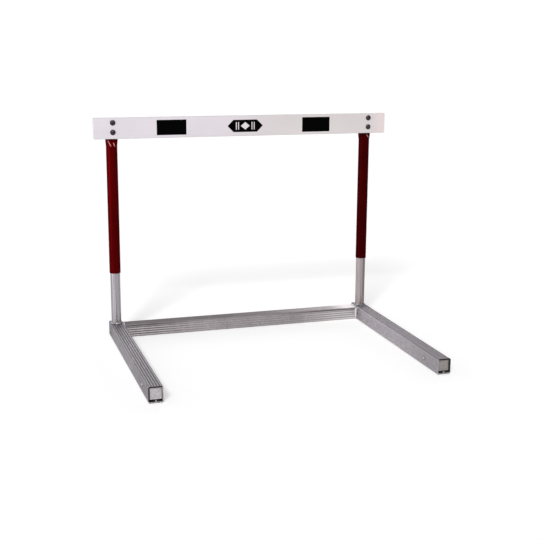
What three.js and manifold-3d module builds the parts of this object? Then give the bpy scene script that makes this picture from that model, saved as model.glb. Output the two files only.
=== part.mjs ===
// Adjustable hurdle: a white gate board on two telescoping uprights, standing on a U-shaped base of
// ribbed aluminium extrusion, with a sliding counterweight inside each leg.
//
// Millimetres. +Z is up, X runs along the board, and the legs point along -Y. The origin is under
// the middle of the whole object, on the floor. The gate is at its lowest height.

import * as THREE from 'three';
import { mergeVertices } from 'three/addons/utils/BufferGeometryUtils.js';
import Module from 'manifold-3d';

const wasm = await Module();
wasm.setup();

// ---------------------------------------------------------------- driving dimensions

const INCH = 25.4;
const GAP = 0.3; // clearance between pieces that touch

// Base: legs and rear bar, all cut from one hollow extrusion, ribbed on its two narrow faces.
const EXTRUSION_WIDTH = 1.75 * INCH; // ribbed face
const EXTRUSION_HEIGHT = 2 * INCH; // smooth face, ribs included
const EXTRUSION_WALL = 3;
const EXTRUSION_CORNER = 3.5;
const RIB_COUNT = 5;
const RIB_PITCH = 8;
const RIB_FOOT = 5.2;
const RIB_TOP = 4.2;
const RIB_HEIGHT = 1;
const RAIL_WIDTH = 4; // inner rail that carries the counterweight
const RAIL_HEIGHT = 5.2;
const LEG_LENGTH = 28.5 * INCH;
const PLUG = { flange: 2, spigot: 14 };

// Uprights.
const UPRIGHT_SPACING = 36 * INCH;
const TUBE_SEGMENTS = 28;
const LOWER_TUBE = { outer: 16.7, inner: 14.3, top: 655 };
const UPPER_TUBE = { outer: 1.5 * INCH / 2, inner: 17.2, bottom: 9 * INCH, top: 755, rim: 1.2 };
const FLAT_HALF_WIDTH = 20.3; // section of the upper tube where it is pressed flatter
const FLAT_HALF_DEPTH = 15.7;
const FLAT_SQUARENESS = 1.4; // added to the exponent 2 of a round section
const FLAT_STARTS_BELOW_BOARD = 30;
const FLAT_ENDS_BELOW_BOARD = 4;
const FLAT_ROWS = 4;

// Gate board, at the lowest height.
const BOARD_WIDTH = 41 * INCH;
const BOARD_HEIGHT = 2.75 * INCH;
const BOARD_THICKNESS = 20;
const BOARD_TOP = 30 * INCH;
const BOARD_EDGE = 2;
const PANEL_SIZE = { width: 102, height: 51 };
const PANEL_OFFSET = 258.5;
const MARK_SIZE = { width: 126, height: 42, point: 21 };
const INLAY_THICKNESS = 0.5;
const INLAY_PROUD = 0.2;

// Carriage bolts, 5/16 in, with washers and nuts behind the tube.
const BOLT_DROPS = [16, 16 + 1.25 * INCH]; // below the board's top edge
const BOLT_RADIUS = 5 / 16 * INCH / 2;
const BOLT_HEAD = { radius: 9.2, height: 4.6 };
const BOLT_HOLE_RADIUS = BOLT_RADIUS + GAP;
const WASHER = { radius: 8.7, thickness: 1.5 };
const NUT = { acrossFlats: INCH / 2, thickness: 6.5 };
const BOLT_TIP = { length: 1.6, chamfer: 0.8 }; // thread past the nut

// Height locks: a sprung button in each lower tube, and a row of holes in each upper tube.
const LOCK_HOLES = 13;
const LOCK_PITCH = INCH;
const BUTTON_Z = 565;
const BUTTON = { radius: 4, flangeRadius: 5.4, flange: 1.2, proud: 3.5, dome: 2 };
const LOCK_HOLE_RADIUS = 4.4;
const BUTTON_SPRING = { width: 8, thickness: 0.6, drop: 52, bend: 2, bendHalf: 2.5, backGap: 2 };
const BUTTON_SPRING_FLATS = { front: 6, backLow: -4, backHigh: 8 }; // from the button's axis

// Counterweights. A groove in each one's left flank clears the leaf spring that holds it, and the
// spring's nose clicks into a notch in the groove.
const WEIGHT = { width: 37.6, height: 36.7, length: 9.25 * INCH, corner: 2 };
const WEIGHT_RECESS = 5; // behind the leg's front end
const WEIGHT_RIM = { width: 3.5, depth: 1 };
const RIVET_FROM_FRONT = 98;
const RIVET = { headRadius: 4.5, headHeight: 2.2, shankRadius: 2.4, tailRadius: 4, tail: 0.5 };
const DETENT = { height: 12, thickness: 0.5, ahead: 9, reach: 44 };
const NOSE = { at: 34, foot: 5, tip: 1.5, height: 2.9 };
const GROOVE = { height: 15, depth: 1.9 };
const NOTCH = { length: 14, depth: 3.3 };

// Welds, with the share of their size that the middle of their hollow face keeps.
const FOOT_WELD = { width: 3.6, height: 3.4, shareOut: 0.55, shareUp: 0.6 };
const CORNER_WELD = { upright: 6.5, top: 5, clear: 2, share: 0.45 };

// ---------------------------------------------------------------- places worked out from them

const TOTAL_LENGTH = LEG_LENGTH + GAP + PLUG.flange;
const LEG_FRONT = -TOTAL_LENGTH / 2;
const LEG_REAR = LEG_FRONT + LEG_LENGTH;
const UPRIGHT_X = UPRIGHT_SPACING / 2;
const UPRIGHT_Y = LEG_REAR - EXTRUSION_HEIGHT / 2; // middle of the rear bar's depth
const LEG_MID_Z = EXTRUSION_HEIGHT / 2;
const LEG_INNER_FACE = UPRIGHT_X - EXTRUSION_WIDTH / 2;
const BAR_FRONT = LEG_REAR - EXTRUSION_HEIGHT;
const CAVITY_HALF_WIDTH = EXTRUSION_WIDTH / 2 - EXTRUSION_WALL;
const FACE_HALF_HEIGHT = EXTRUSION_HEIGHT / 2 - RIB_HEIGHT; // to the face between the ribs
const CAVITY_HALF_HEIGHT = FACE_HALF_HEIGHT - EXTRUSION_WALL;
const RAIL_TOP_Z = LEG_MID_Z - CAVITY_HALF_HEIGHT + RAIL_HEIGHT;
const BOARD_BACK = UPRIGHT_Y - FLAT_HALF_DEPTH - GAP;
const BOARD_FRONT = BOARD_BACK - BOARD_THICKNESS;
const BOARD_BOTTOM = BOARD_TOP - BOARD_HEIGHT;
const BOARD_MID_Z = BOARD_TOP - BOARD_HEIGHT / 2;
const SIDES = [['left', -1], ['right', 1]];

// ---------------------------------------------------------------- materials

function finish(color, roughness, metalness) {
  return new THREE.MeshStandardMaterial({ color, roughness, metalness });
}

const MATERIALS = {
  extrusion: finish(0x9a959c, 0.42, 0.9),
  tube: finish(0xb4b0b4, 0.32, 0.95),
  weld: finish(0xbdb9bd, 0.38, 0.9),
  maroon: finish(0x4a0306, 0.22, 0.1),
  board: finish(0xe9e5ea, 0.45, 0),
  black: finish(0x0a0a0b, 0.5, 0),
  fastener: finish(0x3d3b42, 0.35, 0.85),
  zinc: finish(0xa8a5a8, 0.4, 0.85),
  spring: finish(0x6f7074, 0.35, 0.9),
  weight: finish(0x9c999d, 0.55, 0.6),
  plug: finish(0x141416, 0.6, 0),
};

// ---------------------------------------------------------------- geometry helpers

const AXIS_X = new THREE.Vector3(1, 0, 0);
const AXIS_Y = new THREE.Vector3(0, 1, 0);
const AXIS_Z = new THREE.Vector3(0, 0, 1);

// An outline drawn with u to the right and v up, and swept along the third axis.
const SWEEPS = {
  x: new THREE.Matrix4().makeBasis(AXIS_Y, AXIS_Z, AXIS_X), // u is Y, v is Z
  y: new THREE.Matrix4().makeBasis(AXIS_X, AXIS_Z, AXIS_Y.clone().negate()), // u is X, v is Z
  barX: new THREE.Matrix4().makeBasis(AXIS_Z, AXIS_Y.clone().negate(), AXIS_X), // u is Z, v is -Y
};

// Sweeps a shape so that it is centred on the origin along the sweep.
function prism(shape, length, sweep, curveSegments = 3) {
  const geometry = new THREE.ExtrudeGeometry(shape, { depth: length, bevelEnabled: false, curveSegments });
  geometry.translate(0, 0, -length / 2);
  if (sweep !== 'z') {
    geometry.applyMatrix4(SWEEPS[sweep]);
  }
  return geometry;
}

// Turns [radius, height] pairs about an axis: up the outside, so that the faces point out.
function turned(profile, axis, segments) {
  const points = profile.map(([radius, height]) => new THREE.Vector2(radius, height));
  const geometry = new THREE.LatheGeometry(points, segments);
  if (axis === 'z') {
    geometry.rotateX(Math.PI / 2);
  }
  if (axis === 'x') {
    geometry.rotateZ(-Math.PI / 2);
  }
  return geometry;
}

function ringProfile(inner, outer, low, high) {
  return [[inner, low], [outer, low], [outer, high], [inner, high], [inner, low]];
}

function rodProfile(radius, low, high) {
  return [[0, low], [radius, low], [radius, high], [0, high]];
}

// A dome from the axis at `tip` out to `radius` at `base`, as profile points.
function domePoints(radius, tip, base, steps) {
  return Array.from({ length: steps + 1 }, (_, i) => {
    const angle = i / steps * Math.PI / 2;
    return [radius * Math.sin(angle), base + (tip - base) * Math.cos(angle)];
  });
}

function roundedRect(width, height, radius) {
  const u = width / 2 - radius;
  const v = height / 2 - radius;
  const shape = new THREE.Shape();
  shape.absarc(u, -v, radius, -Math.PI / 2, 0);
  shape.absarc(u, v, radius, 0, Math.PI / 2);
  shape.absarc(-u, v, radius, Math.PI / 2, Math.PI);
  shape.absarc(-u, -v, radius, Math.PI, 1.5 * Math.PI);
  shape.closePath();
  return shape;
}

// A strip of even thickness along a bent line of [u, v] points.
function stripShape(points, thickness) {
  const line = points.map(([u, v]) => new THREE.Vector2(u, v));
  const side = (sign) => line.map((point, i) => {
    const before = line[Math.max(i - 1, 0)];
    const after = line[Math.min(i + 1, line.length - 1)];
    const along = after.clone().sub(before).normalize();
    const reach = sign * thickness / 2;
    return new THREE.Vector2(point.x - reach * along.y, point.y + reach * along.x);
  });
  return new THREE.Shape([...side(-1), ...side(1).reverse()]);
}

function solid(geometry) {
  const bare = geometry.clone();
  bare.deleteAttribute('normal');
  bare.deleteAttribute('uv');
  const merged = mergeVertices(bare, 1e-4);
  return new wasm.Manifold(new wasm.Mesh({
    numProp: 3,
    vertProperties: new Float32Array(merged.attributes.position.array),
    triVerts: new Uint32Array(merged.index.array),
  }));
}

function surface(manifold) {
  const mesh = manifold.getMesh();
  const geometry = new THREE.BufferGeometry();
  geometry.setAttribute('position', new THREE.BufferAttribute(mesh.vertProperties, 3));
  geometry.setIndex(new THREE.BufferAttribute(mesh.triVerts, 1));
  geometry.computeVertexNormals();
  return geometry;
}

function cut(geometry, tools) {
  return surface(tools.reduce((left, tool) => left.subtract(solid(tool)), solid(geometry)));
}

function joined(geometries) {
  return surface(geometries.slice(1).reduce((sum, piece) => sum.add(solid(piece)), solid(geometries[0])));
}

// A round cutter along Y through the given point.
function drillY(radius, x, y, z, length, segments = 12) {
  return turned(rodProfile(radius, -length / 2, length / 2), 'y', segments).translate(x, y, z);
}

function add(parent, name, geometry, material, x = 0, y = 0, z = 0) {
  const mesh = new THREE.Mesh(geometry, material);
  mesh.name = name;
  mesh.position.set(x, y, z);
  parent.add(mesh);
}

// ---------------------------------------------------------------- the extrusion

// Ribs along one face: `side` is -1 for the lower face and 1 for the upper, drawn with or against u.
function addRibs(shape, side) {
  for (let i = 0; i < RIB_COUNT; i += 1) {
    const centre = side * ((RIB_COUNT - 1) / 2 - i) * RIB_PITCH;
    shape.lineTo(centre + side * RIB_FOOT / 2, side * FACE_HALF_HEIGHT);
    shape.lineTo(centre + side * RIB_TOP / 2, side * (FACE_HALF_HEIGHT + RIB_HEIGHT));
    shape.lineTo(centre - side * RIB_TOP / 2, side * (FACE_HALF_HEIGHT + RIB_HEIGHT));
    shape.lineTo(centre - side * RIB_FOOT / 2, side * FACE_HALF_HEIGHT);
  }
}

function cavityPath() {
  const floor = -CAVITY_HALF_HEIGHT;
  const rail = RAIL_WIDTH / 2;
  return new THREE.Path([
    [-CAVITY_HALF_WIDTH, floor], [-CAVITY_HALF_WIDTH, CAVITY_HALF_HEIGHT],
    [CAVITY_HALF_WIDTH, CAVITY_HALF_HEIGHT], [CAVITY_HALF_WIDTH, floor],
    [rail, floor], [rail, floor + RAIL_HEIGHT], [-rail, floor + RAIL_HEIGHT], [-rail, floor],
  ].map(([u, v]) => new THREE.Vector2(u, v)));
}

function extrusionShape() {
  const u = EXTRUSION_WIDTH / 2 - EXTRUSION_CORNER;
  const v = FACE_HALF_HEIGHT - EXTRUSION_CORNER;
  const shape = new THREE.Shape();
  shape.moveTo(-u, -FACE_HALF_HEIGHT);
  addRibs(shape, -1);
  shape.absarc(u, -v, EXTRUSION_CORNER, -Math.PI / 2, 0);
  shape.absarc(u, v, EXTRUSION_CORNER, 0, Math.PI / 2);
  addRibs(shape, 1);
  shape.absarc(-u, v, EXTRUSION_CORNER, Math.PI / 2, Math.PI);
  shape.absarc(-u, -v, EXTRUSION_CORNER, Math.PI, 1.5 * Math.PI);
  shape.holes.push(cavityPath());
  return shape;
}

// ---------------------------------------------------------------- base

function legGeometry() {
  const rivetY = LEG_FRONT + RIVET_FROM_FRONT - (LEG_FRONT + LEG_REAR) / 2;
  const wallX = -EXTRUSION_WIDTH / 2 + EXTRUSION_WALL / 2;
  const rivetHole = turned(rodProfile(RIVET.shankRadius + GAP, -EXTRUSION_WALL, EXTRUSION_WALL), 'x', 12);
  rivetHole.translate(wallX, rivetY, 0);
  return cut(prism(extrusionShape(), LEG_LENGTH, 'y'), [rivetHole]);
}

function rearPlugGeometry() {
  const low = RAIL_TOP_Z - LEG_MID_Z + GAP;
  const high = CAVITY_HALF_HEIGHT - GAP;
  const outline = roundedRect(EXTRUSION_WIDTH, 2 * FACE_HALF_HEIGHT, EXTRUSION_CORNER);
  const flange = prism(outline, PLUG.flange, 'y');
  const width = 2 * (CAVITY_HALF_WIDTH - GAP);
  const spigot = new THREE.BoxGeometry(width, PLUG.spigot + PLUG.flange, high - low);
  spigot.translate(0, -PLUG.spigot / 2, (low + high) / 2);
  return joined([flange, spigot]);
}

function lowerTubeGeometry() {
  const foot = EXTRUSION_HEIGHT + GAP;
  const { inner, outer, top } = LOWER_TUBE;
  const tube = turned(ringProfile(inner, outer, foot, top), 'z', TUBE_SEGMENTS);
  return cut(tube, [drillY(LOCK_HOLE_RADIUS, 0, outer, BUTTON_Z, outer)]);
}

function footWeldGeometry() {
  const inner = LOWER_TUBE.outer + GAP;
  const low = EXTRUSION_HEIGHT + GAP;
  const { width, height, shareOut, shareUp } = FOOT_WELD;
  const profile = [
    [inner, low], [inner + width, low],
    [inner + width * shareOut, low + height * shareUp],
    [inner, low + height], [inner, low],
  ];
  return turned(profile, 'z', TUBE_SEGMENTS);
}

// A weld fillet with its square corner at the origin and a slightly hollow face.
function filletShape(size, signU, signV) {
  const points = [[0, 0], [1, 0], [CORNER_WELD.share, CORNER_WELD.share], [0, 1]];
  return new THREE.Shape(points.map(([u, v]) => new THREE.Vector2(signU * u * size, signV * v * size)));
}

// Beads where the rear bar meets a leg: one up its front corner and one along its top.
function addCornerWelds(base, name, sign) {
  const { upright, top, clear } = CORNER_WELD;
  const seam = sign * (LEG_INNER_FACE - GAP);
  const upLength = EXTRUSION_WIDTH - 2 * clear;
  const topLength = 2 * (FACE_HALF_HEIGHT - clear);
  const cornerBead = prism(filletShape(upright, -sign, -1), upLength, 'z');
  const topBead = prism(filletShape(top, -sign, 1), topLength, 'y');
  add(base, `corner_weld_${name}`, cornerBead, MATERIALS.weld, seam, BAR_FRONT - GAP, EXTRUSION_WIDTH / 2);
  add(base, `top_weld_${name}`, topBead, MATERIALS.weld, seam, UPRIGHT_Y, EXTRUSION_WIDTH + GAP);
}

// The V-shaped leaf spring behind a lock button, in the Y-Z plane of its tube.
function buttonSpringGeometry() {
  const { width, thickness, drop, bend, bendHalf, backGap } = BUTTON_SPRING;
  const flats = BUTTON_SPRING_FLATS;
  const front = buttonFlangeBack() - GAP - thickness / 2;
  const back = -(LOWER_TUBE.inner - backGap);
  const low = BUTTON_Z - drop;
  const line = [
    [front, BUTTON_Z + flats.front], [front, BUTTON_Z - flats.front],
    [bendHalf, low], [0, low - bend], [-bendHalf, low],
    [back, BUTTON_Z + flats.backLow], [back, BUTTON_Z + flats.backHigh],
  ];
  return prism(stripShape(line, thickness), width, 'x');
}

// The leaf spring inside a leg's left wall: u runs back from the rivet, v runs in from the wall.
function detentSpringGeometry() {
  const { ahead, reach, thickness, height } = DETENT;
  const rest = GAP + thickness / 2;
  const line = [
    [-ahead, rest], [NOSE.at - NOSE.foot, rest],
    [NOSE.at - NOSE.tip, NOSE.height], [NOSE.at + NOSE.tip, NOSE.height],
    [NOSE.at + NOSE.foot, rest], [reach, rest],
  ];
  const strip = prism(stripShape(line, thickness), height, 'z');
  strip.applyMatrix4(new THREE.Matrix4().makeBasis(AXIS_Y, AXIS_X, AXIS_Z.clone().negate()));
  const hole = turned(rodProfile(RIVET.shankRadius + GAP, -rest - thickness, rest + thickness), 'x', 12);
  return cut(strip, [hole]);
}

// The rivet through a leg's left wall: x is 0 on the wall's outer face and grows inwards.
function rivetGeometry() {
  const inside = EXTRUSION_WALL + 2 * GAP + DETENT.thickness + GAP;
  const profile = [
    ...domePoints(RIVET.headRadius, -GAP - RIVET.headHeight, -GAP, 5),
    [RIVET.shankRadius, -GAP], [RIVET.shankRadius, inside],
    [RIVET.tailRadius, inside], [RIVET.tailRadius, inside + RIVET.tail], [0, inside + RIVET.tail],
  ];
  return turned(profile, 'x', 16);
}

function addLegFittings(base, name, x) {
  const outerWall = x - EXTRUSION_WIDTH / 2;
  const rivetY = LEG_FRONT + RIVET_FROM_FRONT;
  add(base, `rear_plug_${name}`, rearPlugGeometry(), MATERIALS.plug,
    x, LEG_REAR + GAP + PLUG.flange / 2, LEG_MID_Z);
  add(base, `detent_spring_${name}`, detentSpringGeometry(), MATERIALS.spring,
    outerWall + EXTRUSION_WALL, rivetY, LEG_MID_Z);
  add(base, `detent_rivet_${name}`, rivetGeometry(), MATERIALS.zinc, outerWall, rivetY, LEG_MID_Z);
}

function buildBase() {
  const base = new THREE.Group();
  for (const [name, sign] of SIDES) {
    const x = sign * UPRIGHT_X;
    add(base, `leg_${name}`, legGeometry(), MATERIALS.extrusion, x, (LEG_FRONT + LEG_REAR) / 2, LEG_MID_Z);
    addLegFittings(base, name, x);
    add(base, `lower_tube_${name}`, lowerTubeGeometry(), MATERIALS.tube, x, UPRIGHT_Y, 0);
    add(base, `foot_weld_${name}`, footWeldGeometry(), MATERIALS.weld, x, UPRIGHT_Y, 0);
    add(base, `button_spring_${name}`, buttonSpringGeometry(), MATERIALS.spring, x, UPRIGHT_Y, 0);
    addCornerWelds(base, name, sign);
  }
  const barLength = 2 * (LEG_INNER_FACE - GAP);
  add(base, 'rear_bar', prism(extrusionShape(), barLength, 'barX'), MATERIALS.extrusion,
    0, UPRIGHT_Y, EXTRUSION_WIDTH / 2);
  return base;
}

// ---------------------------------------------------------------- counterweights and lock buttons

function counterweightGeometry() {
  const { width, height, length, corner } = WEIGHT;
  const bar = prism(roundedRect(width, height, corner), length, 'y', 2);
  const inset = 2 * WEIGHT_RIM.width;
  const face = new THREE.BoxGeometry(width - inset, 2 * WEIGHT_RIM.depth, height - inset);
  face.translate(0, -length / 2, 0);
  const springZ = LEG_MID_Z - (RAIL_TOP_Z + GAP + height / 2);
  const groove = new THREE.BoxGeometry(2 * GROOVE.depth, 2 * length, GROOVE.height);
  groove.translate(-width / 2, 0, springZ);
  const noseY = RIVET_FROM_FRONT + NOSE.at - WEIGHT_RECESS - length / 2;
  const notch = new THREE.BoxGeometry(2 * NOTCH.depth, NOTCH.length, GROOVE.height);
  notch.translate(-width / 2, noseY, springZ);
  return cut(bar, [face, groove, notch]);
}

function buildCounterweights() {
  const weights = new THREE.Group();
  const y = LEG_FRONT + WEIGHT_RECESS + WEIGHT.length / 2;
  const z = RAIL_TOP_Z + GAP + WEIGHT.height / 2;
  for (const [name, sign] of SIDES) {
    add(weights, `counterweight_${name}`, counterweightGeometry(), MATERIALS.weight, sign * UPRIGHT_X, y, z);
  }
  return weights;
}

// The foremost place for the front of the button's flange inside the round bore of the lower tube.
function buttonFlangeFront() {
  const bore = LOWER_TUBE.inner * Math.cos(Math.PI / TUBE_SEGMENTS);
  return Math.sqrt(bore ** 2 - BUTTON.flangeRadius ** 2) - GAP;
}

function buttonFlangeBack() {
  return buttonFlangeFront() - BUTTON.flange;
}

function buttonGeometry() {
  const tip = UPPER_TUBE.outer + BUTTON.proud;
  const dome = domePoints(BUTTON.radius, tip, tip - BUTTON.dome, 4).reverse();
  const profile = [
    [0, buttonFlangeBack()], [BUTTON.flangeRadius, buttonFlangeBack()],
    [BUTTON.flangeRadius, buttonFlangeFront()], [BUTTON.radius, buttonFlangeFront()], ...dome,
  ];
  return turned(profile, 'y', 16);
}

function buildLockButtons() {
  const buttons = new THREE.Group();
  for (const [name, sign] of SIDES) {
    const x = sign * UPRIGHT_X;
    add(buttons, `lock_button_${name}`, buttonGeometry(), MATERIALS.zinc, x, UPRIGHT_Y, BUTTON_Z);
  }
  return buttons;
}

// ---------------------------------------------------------------- gate

// Presses a round tube into a flatter, squarer section near its top.
function pressFlat(geometry) {
  const start = BOARD_BOTTOM - FLAT_STARTS_BELOW_BOARD;
  const end = BOARD_BOTTOM - FLAT_ENDS_BELOW_BOARD;
  const position = geometry.attributes.position;
  for (let i = 0; i < position.count; i += 1) {
    const x = position.getX(i);
    const y = position.getY(i);
    const share = THREE.MathUtils.smoothstep(position.getZ(i), start, end);
    const inward = UPPER_TUBE.outer - Math.hypot(x, y);
    const angle = Math.atan2(y, x);
    const power = 2 / (2 + FLAT_SQUARENESS * share);
    const halfWidth = THREE.MathUtils.lerp(UPPER_TUBE.outer, FLAT_HALF_WIDTH, share) - inward;
    const halfDepth = THREE.MathUtils.lerp(UPPER_TUBE.outer, FLAT_HALF_DEPTH, share) - inward;
    const across = Math.sign(Math.cos(angle)) * Math.abs(Math.cos(angle)) ** power;
    const along = Math.sign(Math.sin(angle)) * Math.abs(Math.sin(angle)) ** power;
    position.setXY(i, halfWidth * across, halfDepth * along);
  }
  return geometry;
}

function upperTubeGeometry() {
  const { outer, inner, bottom, top, rim } = UPPER_TUBE;
  const start = BOARD_BOTTOM - FLAT_STARTS_BELOW_BOARD;
  const end = BOARD_BOTTOM - FLAT_ENDS_BELOW_BOARD;
  const rows = Array.from({ length: FLAT_ROWS + 1 }, (_, i) => start + (end - start) * i / FLAT_ROWS);
  const profile = [
    [inner, bottom], [outer - rim, bottom], [outer, bottom + rim],
    ...rows.map((z) => [outer, z]), [outer, top], [inner, top],
    ...rows.reverse().map((z) => [inner, z]), [inner, bottom],
  ];
  const tube = pressFlat(turned(profile, 'z', TUBE_SEGMENTS));
  const lockHoles = Array.from({ length: LOCK_HOLES }, (_, i) => (
    drillY(LOCK_HOLE_RADIUS, 0, outer, BUTTON_Z - i * LOCK_PITCH, outer)));
  const boltHoles = BOLT_DROPS.map((drop) => drillY(BOLT_HOLE_RADIUS, 0, 0, BOARD_TOP - drop, 3 * outer));
  return cut(tube, [...lockHoles, ...boltHoles]);
}

function panelShape(grow) {
  const u = PANEL_SIZE.width / 2 + grow;
  const v = PANEL_SIZE.height / 2 + grow;
  return new THREE.Shape([[-u, -v], [u, -v], [u, v], [-u, v]].map(([a, b]) => new THREE.Vector2(a, b)));
}

// A plain six-sided badge with pointed ends.
function markShape(grow) {
  const u = MARK_SIZE.width / 2 + grow;
  const v = MARK_SIZE.height / 2 + grow;
  const shoulder = u - MARK_SIZE.point;
  const points = [[-u, 0], [-shoulder, -v], [shoulder, -v], [u, 0], [shoulder, v], [-shoulder, v]];
  return new THREE.Shape(points.map(([a, b]) => new THREE.Vector2(a, b)));
}

function boardGeometry() {
  const pocketDepth = INLAY_THICKNESS + GAP - INLAY_PROUD;
  const outline = roundedRect(BOARD_THICKNESS, BOARD_HEIGHT, BOARD_EDGE);
  const frontFace = -BOARD_THICKNESS / 2;
  const pocket = (shape, x) => prism(shape, 2 * pocketDepth, 'y').translate(x, frontFace, 0);
  const tools = [pocket(markShape(GAP), 0)];
  for (const [, sign] of SIDES) {
    tools.push(pocket(panelShape(GAP), sign * PANEL_OFFSET));
    for (const drop of BOLT_DROPS) {
      const z = BOARD_HEIGHT / 2 - drop;
      tools.push(drillY(BOLT_HOLE_RADIUS, sign * UPRIGHT_X, 0, z, 2 * BOARD_THICKNESS, 16));
    }
  }
  return cut(prism(outline, BOARD_WIDTH, 'x'), tools);
}

function boltGeometry() {
  const head = BOARD_FRONT - GAP;
  const nutBack = UPRIGHT_Y + FLAT_HALF_DEPTH + 2 * GAP + WASHER.thickness + NUT.thickness;
  const tip = nutBack + BOLT_TIP.length;
  const profile = [
    ...domePoints(BOLT_HEAD.radius, head - BOLT_HEAD.height, head, 6),
    [BOLT_RADIUS, head], [BOLT_RADIUS, tip - BOLT_TIP.chamfer],
    [BOLT_RADIUS - BOLT_TIP.chamfer, tip], [0, tip],
  ];
  return turned(profile, 'y', 20);
}

function nutGeometry() {
  const corner = NUT.acrossFlats / Math.sqrt(3);
  const hexagon = Array.from({ length: 6 }, (_, i) => (
    new THREE.Vector2(corner * Math.cos(i * Math.PI / 3), corner * Math.sin(i * Math.PI / 3))));
  const shape = new THREE.Shape(hexagon);
  const hole = new THREE.Path();
  hole.absarc(0, 0, BOLT_HOLE_RADIUS, 0, 2 * Math.PI);
  shape.holes.push(hole);
  return prism(shape, NUT.thickness, 'y', 6);
}

function washerGeometry() {
  const half = WASHER.thickness / 2;
  return turned(ringProfile(BOLT_HOLE_RADIUS, WASHER.radius, -half, half), 'y', 20);
}

function addBoltSet(gate, name, x, z) {
  const washerY = UPRIGHT_Y + FLAT_HALF_DEPTH + GAP + WASHER.thickness / 2;
  const nutY = washerY + (WASHER.thickness + NUT.thickness) / 2 + GAP;
  add(gate, `gate_bolt_${name}`, boltGeometry(), MATERIALS.fastener, x, 0, z);
  add(gate, `gate_washer_${name}`, washerGeometry(), MATERIALS.zinc, x, washerY, z);
  add(gate, `gate_nut_${name}`, nutGeometry(), MATERIALS.zinc, x, nutY, z);
}

function buildGate() {
  const gate = new THREE.Group();
  const boardY = BOARD_FRONT + BOARD_THICKNESS / 2;
  const inlayY = BOARD_FRONT - INLAY_PROUD + INLAY_THICKNESS / 2;
  const panel = prism(panelShape(0), INLAY_THICKNESS, 'y');
  const mark = prism(markShape(0), INLAY_THICKNESS, 'y');
  add(gate, 'gate_board', boardGeometry(), MATERIALS.board, 0, boardY, BOARD_MID_Z);
  add(gate, 'centre_mark', mark, MATERIALS.black, 0, inlayY, BOARD_MID_Z);
  for (const [name, sign] of SIDES) {
    add(gate, `black_panel_${name}`, panel, MATERIALS.black, sign * PANEL_OFFSET, inlayY, BOARD_MID_Z);
    add(gate, `upper_tube_${name}`, upperTubeGeometry(), MATERIALS.maroon, sign * UPRIGHT_X, UPRIGHT_Y, 0);
    addBoltSet(gate, `${name}_upper`, sign * UPRIGHT_X, BOARD_TOP - BOLT_DROPS[0]);
    addBoltSet(gate, `${name}_lower`, sign * UPRIGHT_X, BOARD_TOP - BOLT_DROPS[1]);
  }
  return gate;
}

const hurdle = new THREE.Group();
hurdle.add(buildBase(), buildCounterweights(), buildLockButtons(), buildGate());

export default hurdle;
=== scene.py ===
"""The looks of the adjustable hurdle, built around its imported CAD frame. Metres, in the frame's own axes."""

import math

import bmesh
import bpy
from mathutils import Matrix, Vector, noise
from mathutils.geometry import tessellate_polygon


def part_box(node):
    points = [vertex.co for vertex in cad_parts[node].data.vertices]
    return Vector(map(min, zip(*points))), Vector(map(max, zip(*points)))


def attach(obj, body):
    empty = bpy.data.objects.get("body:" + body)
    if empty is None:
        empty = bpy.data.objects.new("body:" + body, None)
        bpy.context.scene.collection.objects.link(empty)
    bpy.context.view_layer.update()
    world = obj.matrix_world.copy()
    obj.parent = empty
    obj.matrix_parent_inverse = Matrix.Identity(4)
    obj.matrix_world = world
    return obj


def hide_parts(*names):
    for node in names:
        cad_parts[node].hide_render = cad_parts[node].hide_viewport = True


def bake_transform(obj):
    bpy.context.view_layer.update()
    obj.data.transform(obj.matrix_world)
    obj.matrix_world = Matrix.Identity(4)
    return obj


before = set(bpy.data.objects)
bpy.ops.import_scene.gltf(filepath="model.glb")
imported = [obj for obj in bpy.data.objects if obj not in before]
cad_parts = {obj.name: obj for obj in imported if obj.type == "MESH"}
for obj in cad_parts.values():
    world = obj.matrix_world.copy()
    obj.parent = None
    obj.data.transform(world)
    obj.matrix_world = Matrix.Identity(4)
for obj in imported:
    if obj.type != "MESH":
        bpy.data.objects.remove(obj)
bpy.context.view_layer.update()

MM = 0.001
INCH = 0.0254
X, Y, Z = Vector((1, 0, 0)), Vector((0, 1, 0)), Vector((0, 0, 1))
QUARTER = math.pi / 2
SIDES = {"left": -1, "right": 1}
LEVELS = ("upper", "lower")

# ---------------------------------------- sizes that the frame's boxes don't give

RIB_COUNT = 5
RIB_PITCH = 8 * MM
RIB_FOOT = 5.2 * MM
RIB_TOP = 4.2 * MM
RIB_HEIGHT = 1 * MM
RIB_FOOT_FILLET = 0.25 * MM
RIB_TOP_ROUNDING = 0.45 * MM
EXTRUSION_CORNER = 3.5 * MM
EXTRUSION_WALL = 3 * MM
RAIL_WIDTH = 4 * MM
RAIL_HEIGHT = 5.2 * MM
SAW_EDGE = 0.35 * MM  # small edge left where a bar is cut off

UPPER_WALL = 1.85 * MM
LOWER_WALL = 2.4 * MM
FLAT_HALF_WIDTH = 20.3 * MM
FLAT_HALF_DEPTH = 15.7 * MM
FLAT_SQUARENESS = 1.4
FLAT_STARTS_BELOW_BOARD = 30 * MM
FLAT_ENDS_BELOW_BOARD = 4 * MM
LOCK_HOLES = 13
LOCK_PITCH = INCH
LOCK_HOLE_RADIUS = 4.4 * MM

RIVET_HOLE_RADIUS = 2.6 * MM
NOSE_BEHIND_RIVET = 34 * MM  # from a detent rivet to the nose of its leaf spring

BOLT_RADIUS = 5 / 16 * INCH / 2
BOLT_HOLE_RADIUS = BOLT_RADIUS + 0.3 * MM
THREAD_PITCH = INCH / 18
THREAD_DEPTH = 0.75 * MM
BOARD_EDGE = 2 * MM

# The ends of each painted glint along a crease under the board, in mm: across from the tube's middle, and up
# from the board's edge.
PRESS_GLINTS = {
    "left": [((-15, -5), (-4, -28)), ((3.5, -13), (8.5, -28))],
    "right": [((2.5, -6), (11.5, -19))],
}


# ---------------------------------------- places, read from the frame


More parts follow.
